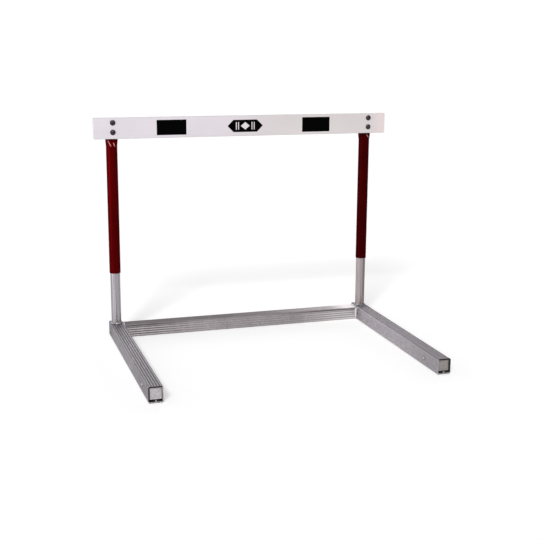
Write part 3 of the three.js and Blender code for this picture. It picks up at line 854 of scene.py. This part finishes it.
def build_leg(side):
    """A leg: the ribbed extrusion, with the hole for the spring's rivet in its left wall."""
    node = f"leg_{side}"
    low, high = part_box(node)
    size = extent(node)
    leg = hollow_bar(f"{side}_leg", size.x, size.z, low.y, high.y, upright(middle(node)))
    rivet = middle(f"detent_rivet_{side}")
    hole = drill(Vector((low.x, rivet.y, rivet.z)), X, RIVET_HOLE_RADIUS, EXTRUSION_WALL + 1 * MM)
    finish(cut(leg, [hole]), "base", f"leg_{side}", node)


def build_rear_bar():
    """The rear bar: the same extrusion lying between the legs, its ribs to the front and the back."""
    low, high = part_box("rear_bar")
    centre, size = middle("rear_bar"), extent("rear_bar")
    bar = hollow_bar(
        "rear_cross_bar", size.z, size.y, low.x, high.x,
        lambda p, x: Vector((x, centre.y - p.y, centre.z + p.x)),
    )
    finish(bar, "base", "bar", "rear_bar")


def build_lower_tube(side):
    """A bare tube, with softened ends and the hole that its lock button looks out of."""
    node = f"lower_tube_{side}"
    low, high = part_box(node)
    centre, outer = middle(node), extent(node).x / 2
    inner, rim = outer - LOWER_WALL, 0.4 * MM
    foot = low.z - RIB_HEIGHT - 0.2 * MM  # down to the floor of the leg's grooves
    profile = [(inner + rim, foot), (outer, foot), (outer, high.z - rim), (outer - rim, high.z)]
    profile += [(inner + rim, high.z), (inner, high.z - rim), (inner, foot + rim)]
    tube = turned(f"{side}_inner_tube", Vector((centre.x, centre.y, 0)), Z, profile, 96, loop=True)
    button = middle(f"lock_button_{side}")
    hole = drill(Vector((centre.x, centre.y + outer, button.z)), -Y, LOCK_HOLE_RADIUS, outer, 0.3 * MM)
    finish(cut(tube, [hole]), "base", f"tube_{side}", node)


def weld_bead(name, count, path, size, pitch, seed, loop=False):
    """A rippled bead. path(share) gives the corner, its two outward directions and the length run so far."""
    rings = []
    for i in range(count + (0 if loop else 1)):
        share = i / count
        corner, first, second, run = path(share)
        taper = 1.0 if loop else min(1.0, 0.45 + 5 * min(share, 1 - share))
        ring = [corner - (first + second) * 0.6 * MM]
        for j, angle in enumerate(quarter_turn(9)):
            bow = math.sin(2 * angle)
            ripple = (run / pitch - 0.55 * bow) % 1.0
            crest = 0.34 * MM * (1 - ripple) * (0.35 + 0.65 * bow)
            wander = 0.22 * MM * noise.noise(Vector((run * 160, seed, j * 0.12)))
            reach = (size * (0.86 + 0.1 * bow) + crest + wander) * taper
            ring.append(corner + first * (reach * math.cos(angle)) + second * (reach * math.sin(angle)))
        rings.append(ring)
    return loft(name, rings, loop)


def build_welds(side):
    """The bead round a lower tube's foot, and the two beads that join the rear bar to a leg."""
    tube = middle(f"lower_tube_{side}")
    radius = extent(f"lower_tube_{side}").x / 2
    leg_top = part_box(f"leg_{side}")[1].z - RIB_HEIGHT
    bead_radius, ripples = radius + 2 * MM, 46

    def round_foot(share):
        angle = 2 * math.pi * share
        out = Vector((math.cos(angle), math.sin(angle), 0))
        return Vector((tube.x, tube.y, leg_top)) + out * radius, out, Z, angle * bead_radius

    pitch = 2 * math.pi * bead_radius / ripples
    foot = weld_bead(f"{side}_foot_weld", 432, round_foot, 3.9 * MM, pitch, 1.0, True)
    finish(foot, "base", "foot_weld", f"foot_weld_{side}", 60)

    low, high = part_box("rear_bar")
    inward = Vector((-SIDES[side], 0, 0))
    seam_x = high.x * SIDES[side]

    def up_corner(share):
        z = low.z + 1.5 * MM + share * (high.z - low.z - 2.5 * MM)
        return Vector((seam_x, low.y + RIB_HEIGHT, z)), inward, -Y, z

    def along_top(share):
        y = low.y + 2 * MM + share * (high.y - low.y - 4 * MM)
        return Vector((seam_x, y, high.z)), inward, Z, y

    for seam, path, size, pitch, seed in (
        ("corner", up_corner, 6.4 * MM, 2.7 * MM, 2.0), ("top", along_top, 4.6 * MM, 2.4 * MM, 5.0),
    ):
        bead = weld_bead(f"{side}_{seam}_weld", 170, path, size, pitch, seed + SIDES[side])
        finish(bead, "base", "seam_weld", f"{seam}_weld_{side}", 60)


def build_rear_plug(side):
    """A plastic plug: a plate with a softened edge, and a spigot inside the leg."""
    node = f"rear_plug_{side}"
    low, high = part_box(node)
    leg_low, leg_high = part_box(f"leg_{side}")
    place = upright(middle(f"leg_{side}"))
    width, height = extent(node).x, leg_high.z - leg_low.z - 2 * RIB_HEIGHT
    slack, soft = 0.3 * MM, 0.8 * MM
    spigot_width = width - 2 * EXTRUSION_WALL - 2 * slack
    spigot_height = height - 2 * EXTRUSION_WALL - RAIL_HEIGHT - 2 * slack
    lift = RAIL_HEIGHT / 2  # the spigot sits above the rail
    plate = leg_high.y + slack

    def ring(shrink, y):
        outline = rectangle(width - shrink, height - shrink, EXTRUSION_CORNER, 8)
        return [place(p, y) for p in outline]

    def spigot_ring(shrink, y):
        outline = rectangle(spigot_width - shrink, spigot_height - shrink, EXTRUSION_CORNER, 8)
        return [place(p + Vector((0, lift)), y) for p in outline]

    rings = [spigot_ring(2 * soft, low.y), spigot_ring(0, low.y + soft), spigot_ring(0, plate)]
    rings += [ring(0, plate)] + [ring(2 * b, high.y - a) for a, b in edge_rounding(soft)]
    finish(loft(f"{side}_rear_plug", rings), "base", "plug", node)


def build_detent(side):
    """The leaf spring that holds the counterweight, and the rivet that holds the spring."""
    spring_node, rivet_node = f"detent_spring_{side}", f"detent_rivet_{side}"
    low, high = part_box(spring_node)
    rivet = middle(rivet_node)
    thickness = 0.5 * MM
    rest, nose = low.x + thickness / 2, high.x - thickness / 2
    nose_y = rivet.y + NOSE_BEHIND_RIVET
    foot, tip = 5 * MM, 1.2 * MM  # half the length of the nose, at its foot and at its tip
    corners = [(low.y, rest, 0), (nose_y - foot, rest, 2 * MM), (nose_y - tip, nose, 1 * MM)]
    corners += [(nose_y + tip, nose, 1 * MM), (nose_y + foot, rest, 2 * MM), (high.y, rest, 0)]
    strip = bent_strip(
        f"{side}_detent_leaf", rounded_path(corners, 5, closed=False), thickness, high.z - low.z,
        lambda p, across: Vector((p.y, p.x, rivet.z + across)),
    )
    hole = drill(Vector((low.x - 1 * MM, rivet.y, rivet.z)), X, RIVET_HOLE_RADIUS, 6 * MM)
    finish(cut(strip, [hole]), "base", "spring", spring_node)

    low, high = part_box(rivet_node)
    head = extent(rivet_node).y / 2
    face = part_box(f"leg_{side}")[0].x
    shank, tail, dimple = 2.4 * MM, high.x - 0.5 * MM, high.x - 0.3 * MM
    profile = dome(head, face - 0.3 * MM, low.x, 12)
    profile += [(head - 0.15 * MM, face), (shank, face), (shank, tail), (4 * MM, tail), (3.8 * MM, high.x)]
    profile += [(1.6 * MM, high.x), (1.2 * MM, dimple), (0, dimple)]
    made = turned(f"{side}_detent_rivet", Vector((0, rivet.y, rivet.z)), X, profile, 48)
    finish(made, "base", "rivet", rivet_node)


def build_button(side):
    """A lock button, and the V-shaped leaf spring behind it."""
    node = f"lock_button_{side}"
    low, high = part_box(node)
    centre = middle(node)
    shank, flange, soft = 4 * MM, extent(node).x / 2, 0.2 * MM
    front = low.y + 1.2 * MM
    profile = [(0, low.y), (flange - soft, low.y), (flange, low.y + soft), (flange, front - soft)]
    profile += [(flange - soft, front), (shank + soft, front), (shank, front + soft)]
    profile += reversed(dome(shank, high.y - 2 * MM, high.y, 12))
    made = turned(f"{side}_lock_button", Vector((centre.x, 0, centre.z)), Y, profile, 48)
    finish(made, f"{side}_button", "plated", node)

    node = f"button_spring_{side}"
    low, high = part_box(node)
    thickness = 0.6 * MM
    front, back = high.y - thickness / 2, low.y + thickness / 2
    axis_y = middle(f"lower_tube_{side}").y
    bend, half_fold = low.z + thickness, 2.6 * MM
    corners = [(front, centre.z + 6 * MM, 0), (front, centre.z - 6 * MM, 8 * MM)]
    corners += [(axis_y + half_fold, bend, 2.2 * MM), (axis_y - half_fold, bend, 2.2 * MM)]
    corners += [(back, centre.z - 4 * MM, 8 * MM), (back, high.z, 0)]
    leaf = bent_strip(
        f"{side}_button_spring", rounded_path(corners, 6, closed=False), thickness, extent(node).x,
        lambda p, across: Vector((centre.x + across, p.x, p.y)),
    )
    finish(leaf, None, "spring", node)
    arm = Vector((centre.x, front - thickness, centre.z))
    Vector((centre.x, axis_y, centre.z))
    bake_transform(leaf)


def box_cutter(low, high, corner, narrowing=1.0):
    """A cutter with rounded edges along X, whose far end is narrowed to a share of its size."""
    outline = rectangle(high.y - low.y, high.z - low.z, corner, 4)
    centre = (low + high) / 2
    return loft("cutter", [
        [Vector((x, centre.y + p.x * share, centre.z + p.y * share)) for p in outline]
        for x, share in ((low.x, 1), (high.x - corner / 2, 1), (high.x, narrowing))
    ])


def build_counterweight(side):
    """A cast counterweight with a raised rim round its front, and a groove and notch for the leaf spring."""
    node = f"counterweight_{side}"
    low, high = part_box(node)
    size, place = extent(node), upright(middle(node))
    soft, corner, rim = 1.2 * MM, 2.4 * MM, 3.3 * MM

    def ring(shrink, y):
        outline = rectangle(size.x - 2 * shrink, size.z - 2 * shrink, corner - shrink * 0.6)
        return [place(p, y) for p in outline]

    edge = edge_rounding(soft)
    rings = [ring(a, low.y + b) for a, b in edge] + [ring(b, high.y - a) for a, b in edge]
    block = loft(f"{side}_counterweight", rings)

    slope = ((-1.2, -1), (-0.5, -0.02), (-0.15, 0.1), (0, 0.3), (0.1, 0.6), (0.5, 0.9), (1.1, 1))
    pocket = loft("pocket", [ring(rim + inwards * MM, low.y + deep * MM) for inwards, deep in slope])
    spring_z = middle(f"detent_spring_{side}").z
    nose_y = middle(f"detent_rivet_{side}").y + NOSE_BEHIND_RIVET
    outside = low.x - 1 * MM
    groove_half, notch_half, notch_half_height = 7.5 * MM, 7 * MM, 7.3 * MM
    groove = box_cutter(
        Vector((outside, low.y - 5 * MM, spring_z - groove_half)),
        Vector((low.x + 1.9 * MM, high.y + 5 * MM, spring_z + groove_half)),
        0.8 * MM,
    )
    notch = box_cutter(
        Vector((outside, nose_y - notch_half, spring_z - notch_half_height)),
        Vector((low.x + 3.3 * MM, nose_y + notch_half, spring_z + notch_half_height)),
        2 * MM,
        0.9,
    )
    cut(block, [pocket, groove, notch])
    finish(block, f"{side}_weight", f"weight_{side}", node)


# ---------------------------------------- gate


def pressed_flat(angle, outer, inward, share):
    """A point on the upper tube's section, which turns from round to flat as share goes from 0 to 1."""
    power = 2 / (2 + FLAT_SQUARENESS * share)
    half_width = outer + (FLAT_HALF_WIDTH - outer) * share - inward
    half_depth = outer + (FLAT_HALF_DEPTH - outer) * share - inward
    c, s = (math.copysign(abs(reach) ** power, reach) for reach in (math.cos(angle), math.sin(angle)))
    return Vector((half_width * c, half_depth * s, 0))


def build_upper_tube(side):
    """A sleeve: round below, pressed flat where the board is bolted on, with a row of lock holes behind."""
    node = f"upper_tube_{side}"
    low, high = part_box(node)
    board_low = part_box("gate_board")[0].z
    start, end = board_low - FLAT_STARTS_BELOW_BOARD, board_low - FLAT_ENDS_BELOW_BOARD
    rim, lip = 1.2 * MM, 0.3 * MM
    heights = [start + (end - start) * share for share in shares(24)]
    profile = [(a, low.z + b) for a, b in edge_rounding(rim, COARSE_QUARTER)]
    profile += [(0, z) for z in heights] + [(0, high.z - rim / 4), (rim / 4, high.z)]
    profile += [(UPPER_WALL - lip, high.z), (UPPER_WALL, high.z - lip)]
    profile += [(UPPER_WALL, z) for z in reversed(heights)]
    profile += [(UPPER_WALL, low.z + lip), (UPPER_WALL - lip, low.z)]
    axis = Vector((middle(node).x, middle(f"lower_tube_{side}").y, 0))
    outer = extent(node).y / 2
    segments = 96
    rings = []
    for inward, z in profile:
        share = min(1.0, max(0.0, (z - start) / (end - start)))
        share = share * share * (3 - 2 * share)
        rings.append([
            axis + Z * z + pressed_flat(2 * math.pi * (i + 0.5) / segments, outer, inward, share)
            for i in range(segments)
        ])
    tube = loft(f"{side}_sleeve", rings, loop=True)
    button_z = middle(f"lock_button_{side}").z
    cutters = [
        drill(axis + Y * outer + Z * (button_z - i * LOCK_PITCH), -Y, LOCK_HOLE_RADIUS, outer, 0.4 * MM)
        for i in range(LOCK_HOLES)
    ]
    for level in LEVELS:
        bolt_z = middle(f"gate_bolt_{side}_{level}").z
        cutters.append(drill(axis - Y * outer + Z * bolt_z, Y, BOLT_HOLE_RADIUS, 2 * outer + 4 * MM))
    finish(cut(tube, cutters), "gate", f"maroon_{side}", node)


def build_board():
    """The gate board, with its long edges and ends softened and its bolt holes."""
    low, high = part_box("gate_board")
    centre, size = middle("gate_board"), extent("gate_board")

    def ring(x, shrink):
        outline = rectangle(size.y - 2 * shrink, size.z - 2 * shrink, BOARD_EDGE)
        return [Vector((x, centre.y + p.x, centre.z + p.y)) for p in outline]

    edge = edge_rounding(1.2 * MM)
    rings = [ring(low.x + a, b) for a, b in reversed(edge)] + [ring(high.x - a, b) for a, b in edge]
    bolts = [middle(f"gate_bolt_{side}_{level}") for side in SIDES for level in LEVELS]
    mouths = [Vector((bolt.x, low.y - 1 * MM, bolt.z)) for bolt in bolts]
    cutters = [drill(mouth, Y, BOLT_HOLE_RADIUS, size.y + 4 * MM) for mouth in mouths]
    finish(cut(loft("white_gate_board", rings), cutters), "gate", "board", "gate_board")


def thin_plate(name, node, outline, holes=()):
    """A thin black sheet on the board's front, with a softened front edge."""
    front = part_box(node)[0].y
    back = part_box("gate_board")[0].y + 0.05 * MM
    soft = 0.12 * MM
    layers = [(back, 0), (front + soft, 0), (front, soft)]
    made = pierced(name, outline, holes, layers, upright(middle(node)))
    finish(made, "gate", "panel", node)


def build_markings():
    """Two plain black panels, and a plain badge: a six-sided field with a diamond and two pairs of bars."""
    for side in SIDES:
        node = f"black_panel_{side}"
        size = extent(node)
        thin_plate(f"{side}_black_panel", node, rectangle(size.x, size.z, 0.8 * MM, 4))
    size = extent("centre_mark")
    u, v = size.x / 2, size.z / 2
    shoulder = u - 21 * MM
    long, tall, bar = 16 * MM, 13 * MM, 3.2 * MM
    hexagon = [(u, 0), (shoulder, v), (-shoulder, v), (-u, 0), (-shoulder, -v), (shoulder, -v)]
    diamond = [(long, 0), (0, tall), (-long, 0), (0, -tall)]
    field, gap = (rounded_path([(*corner, 1 * MM) for corner in shape], 3) for shape in (hexagon, diamond))
    holes = [gap]
    for across in (-24, -32, 24, 32):
        holes.append([p + Vector((across * MM, 0)) for p in rectangle(bar, 2 * tall, 0.6 * MM, 3)])
    thin_plate("plain_badge", "centre_mark", field, holes)


def thread_wave(angle, height):
    """Goes from 1 to 0 and back once in each pitch of a thread."""
    return abs(2 * ((height / THREAD_PITCH - angle / (2 * math.pi)) % 1.0) - 1)


def build_bolt(side, level):
    """A carriage bolt: domed head, square neck, shank, and a real thread at its end."""
    node = f"gate_bolt_{side}_{level}"
    low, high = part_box(node)
    centre, head = middle(node), extent(node).x / 2
    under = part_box("gate_board")[0].y - 0.05 * MM
    neck = 5 * MM
    thread_start = high.y - 15 * MM

    def shape(angle, radius, y):
        if under + 0.2 * MM < y < under + neck:
            return min(BOLT_RADIUS / math.cos(angle % QUARTER - QUARTER / 2), BOLT_RADIUS * 1.18)
        if y > thread_start and radius > BOLT_RADIUS * 0.7:
            fade = min(1.0, (y - thread_start) / (2 * THREAD_PITCH))
            return radius - THREAD_DEPTH * thread_wave(angle, y - thread_start) * fade
        return radius

    row_step = THREAD_PITCH / 10
    rows = int((high.y - 0.8 * MM - thread_start) / row_step)
    profile = dome(head - 0.25 * MM, under - 0.5 * MM, low.y, 14)
    profile += [(head, under - 0.3 * MM), (head - 0.1 * MM, under), (BOLT_RADIUS, under)]
    profile += [(BOLT_RADIUS, under + d * MM) for d in (0.3, 4.8, 5.2)]
    profile += [(BOLT_RADIUS, thread_start + i * row_step) for i in range(rows + 1)]
    profile += [(BOLT_RADIUS - 0.9 * MM, high.y), (0, high.y)]
    made = turned(f"{side}_{level}_bolt", Vector((centre.x, 0, centre.z)), Y, profile, 60, shape)
    finish(made, "gate", "bolt", node)


def build_washer(side, level):
    """A plain washer, rounded at its outer edge."""
    node = f"gate_washer_{side}_{level}"
    low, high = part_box(node)
    centre, outer = middle(node), extent(node).x / 2
    inner, lip = BOLT_HOLE_RADIUS, 0.15 * MM
    profile = [(inner, low.y), (outer, low.y)]
    profile += [(outer - b, high.y - a) for a, b in edge_rounding(0.35 * MM, COARSE_QUARTER)]
    profile += [(inner + lip, high.y), (inner, high.y - lip)]
    made = turned(f"{side}_{level}_washer", Vector((centre.x, 0, centre.z)), Y, profile, loop=True)
    finish(made, "gate", "plated", node)


def build_nut(side, level):
    """A hexagon nut with both faces chamfered and a countersunk, threaded hole."""
    node = f"gate_nut_{side}_{level}"
    low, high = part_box(node)
    centre, thickness = middle(node), extent(node).y
    half_flats = INCH / 4
    corner = half_flats * 2 / math.sqrt(3)
    inner = BOLT_RADIUS - 0.1 * MM
    mouth = inner + 0.6 * MM

    def shape(angle, radius, y):
        edge = min(y - low.y, high.y - y)
        if radius < half_flats * 0.9:
            return radius + (0.35 * MM * thread_wave(angle, y - low.y) if edge > 0.6 * MM else 0)
        hexagon = half_flats / math.cos(angle % (math.pi / 3) - math.pi / 6)
        return min(hexagon, half_flats * 0.97 + edge * 1.9, corner)

    chamfer = [0, 0.15, 0.3, 0.5, 0.7, 0.95]
    climb = [low.y + h * MM for h in chamfer] + [high.y - h * MM for h in reversed(chamfer)]
    profile = [(mouth, low.y)] + [(corner, y) for y in climb] + [(mouth, high.y)]
    profile += [(inner, high.y - 0.5 * MM - (thickness - 1 * MM) * share) for share in shares(28)]
    made = turned(f"{side}_{level}_nut", Vector((centre.x, 0, centre.z)), Y, profile, 96, shape, loop=True)
    finish(made, "gate", "plated", node)


# ---------------------------------------- the whole hurdle

build_rear_bar()
build_board()
build_markings()
for side_name in SIDES:
    for build in (
        build_leg, build_lower_tube, build_welds, build_rear_plug,
        build_detent, build_button, build_counterweight, build_upper_tube,
    ):
        build(side_name)
    for level_name in LEVELS:
        build_bolt(side_name, level_name)
        build_washer(side_name, level_name)
        build_nut(side_name, level_name)


# ---------------------------------------- studio

FLOOR_HALF = 14.0

# (height, light) from the horizon up to overhead
WORLD_FRONT = [(0.0, 1.02), (0.12, 1.02), (0.2, 0.42), (1.0, 0.34)]
WORLD_BACK = [
    (0.0, 1.02), (0.1, 1.1), (0.2, 2.0), (0.27, 2.1),
    (0.31, 1.6), (0.36, 1.1), (0.45, 0.5), (1.0, 0.34),
]

CAMERA_PLACE = Vector((-0.9884, -3.1237, 1.0402))
CAMERA_YAW, CAMERA_PITCH, CAMERA_ROLL = (math.radians(angle) for angle in (-17.5282, 13.0042, 0.3779))
CAMERA_LENS = 68.51


def build_floor():
    corners = [(-FLOOR_HALF, -FLOOR_HALF, 0), (FLOOR_HALF, -FLOOR_HALF, 0)]
    corners += [(FLOOR_HALF, FLOOR_HALF, 0), (-FLOOR_HALF, FLOOR_HALF, 0)]
    floor = mesh_object("floor", corners, [(0, 1, 2, 3)])
    floor.data.materials.append(floor_material())
    return floor


def build_world():
    """A white backdrop behind the hurdle, which dims to grey overhead and in front."""
    world = bpy.data.worlds.new("studio")
    bpy.context.scene.world = world
    world.use_nodes = True
    s = Nodes(world.node_tree, "Generated")
    lights = []
    for stops in (WORLD_FRONT, WORLD_BACK):
        ramp = s.node("ShaderNodeValToRGB")
        while len(ramp.color_ramp.elements) < len(stops):
            ramp.color_ramp.elements.new(0.5)
        for element, (height, light) in zip(ramp.color_ramp.elements, stops):
            element.position, element.color = height, (light, light, light * 1.01, 1)
        lights.append(s.fed(ramp, s.z))
    background = world.node_tree.nodes["Background"]
    s.feed(background.inputs["Color"], s.mix(s.step(s.y, -0.1, 0.5), *lights))
    background.inputs["Strength"].default_value = 1.0


def lamp(name, kind, azimuth, elevation, distance, target, power, colour):
    """A light that looks at the target. Azimuth 0 is in front of the hurdle, and 90 to its right."""
    a, e = math.radians(azimuth), math.radians(elevation)
    out = Vector((math.sin(a) * math.cos(e), -math.cos(a) * math.cos(e), math.sin(e)))
    data = bpy.data.lights.new(name, kind)
    data.energy = power
    data.color = colour
    light = bpy.data.objects.new(name, data)
    light.location = Vector(target) + out * distance
    light.rotation_euler = (-out).to_track_quat("-Z", "Y").to_euler()
    bpy.context.scene.collection.objects.link(light)
    return light


def build_lights(floor):
    """A sun from the left, and three area lamps that don't light the floor, so that shadows show there."""
    key = lamp("key", "SUN", -30, 38, 4.0, (0, 0.1, 0.35), 1.8, (1.0, 0.99, 0.98))
    key.data.angle = math.radians(13)
    side = lamp("side", "AREA", -76, 10, 2.0, (0, 0.3, 0.4), 14, (1.0, 0.99, 0.985))
    side.data.shape = "RECTANGLE"
    side.data.size, side.data.size_y = 0.6, 1.4
    fill = lamp("fill", "AREA", 4, 40, 3.5, (-0.1, 0.3, 0.1), 44, (1.0, 0.965, 0.935))
    fill.data.size = 1.2
    back = lamp("back", "AREA", 154, 42, 3.0, (0.42, 0.33, 0.045), 8, (1.0, 0.98, 0.98))
    back.data.size = 0.4
    unlit = bpy.data.collections.new("unlit_by_area_lamps")
    unlit.objects.link(floor)
    unlit.collection_objects[0].light_linking.link_state = "EXCLUDE"
    for light in (side, fill, back):
        light.light_linking.receiver_collection = unlit
        light.visible_camera = False


def build_camera():
    """A long lens to the left of the middle, looking slightly down."""
    data = bpy.data.cameras.new("camera")
    data.lens = CAMERA_LENS
    data.sensor_width = 36
    data.clip_end = 100
    camera = bpy.data.objects.new("camera", data)
    heading, roll = Matrix.Rotation(CAMERA_YAW, 4, "Z"), Matrix.Rotation(CAMERA_ROLL, 4, "Z")
    dip = Matrix.Rotation(QUARTER - CAMERA_PITCH, 4, "X")
    camera.matrix_world = Matrix.Translation(CAMERA_PLACE) @ heading @ dip @ roll
    bpy.context.scene.collection.objects.link(camera)
    bpy.context.scene.camera = camera


studio_floor = build_floor()
build_world()
build_lights(studio_floor)
build_camera()
bpy.context.scene.view_settings.view_transform = "Standard"
